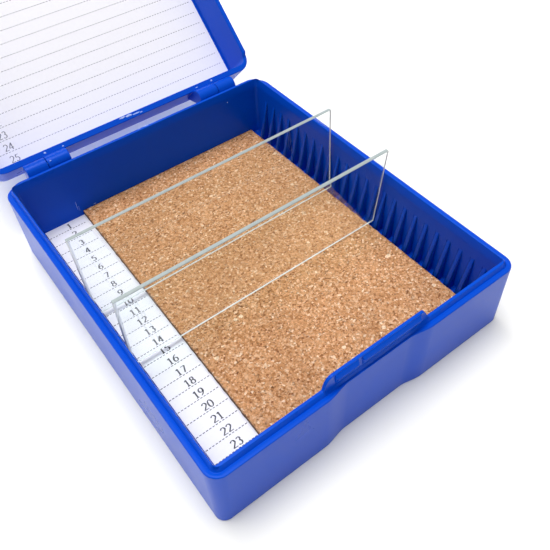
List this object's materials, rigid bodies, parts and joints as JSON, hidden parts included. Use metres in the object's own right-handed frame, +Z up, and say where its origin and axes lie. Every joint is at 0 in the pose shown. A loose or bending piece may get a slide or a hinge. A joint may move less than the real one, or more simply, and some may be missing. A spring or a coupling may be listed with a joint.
{
  "type": "microscope slide storage box",
  "caption": "Cork-lined plastic storage box with slotted side walls, a hinged lid, a numbered floor sheet and glass microscope slides standing in its slots.",
  "frame": {"origin": "centre of the tray's flat underside", "axes": "+X along the glass slides, to the right seen from the latch side; +Y towards the hinge; +Z up, out of the open tray"},
  "size_m": [0.0836, 0.1842, 0.0884],
  "materials": {
    "blue_plastic": "satin moulded ABS",
    "hinge_steel": "drawn steel wire",
    "printed_sheet": "matt, printed",
    "cork": "sanded cork agglomerate",
    "printed_card": "matt, printed",
    "slide_glass": "polished faces, cut edges"
  },
  "bodies": {
    "tray": {"base_tray": "blue_plastic", "hinge_pin_left": "hinge_steel", "hinge_pin_right": "hinge_steel", "slot_index_sheet": "printed_sheet", "cork_sheet": "cork"},
    "lid": {"lid": "blue_plastic", "lid_index_card": "printed_card"},
    "rear_slide": {"microscope_slide_rear": "slide_glass"},
    "front_slide": {"microscope_slide_front": "slide_glass"}
  },
  "joints": [
    {"name": "lid_hinge", "type": "hinge", "parent": "tray", "child": "lid", "pos_m": [0, 0.0518, 0.0202], "axis": [-1, 0, 0], "range_deg": [-137.8, 0]},
    {"name": "rear_slide_lift", "type": "slide", "parent": "tray", "child": "rear_slide", "axis": [0, 0.0436, 0.999], "range_m": [0, 0.03]},
    {"name": "front_slide_lift", "type": "slide", "parent": "tray", "child": "front_slide", "axis": [0, -0.0819, 0.9966], "range_m": [0, 0.03]}
  ]
}
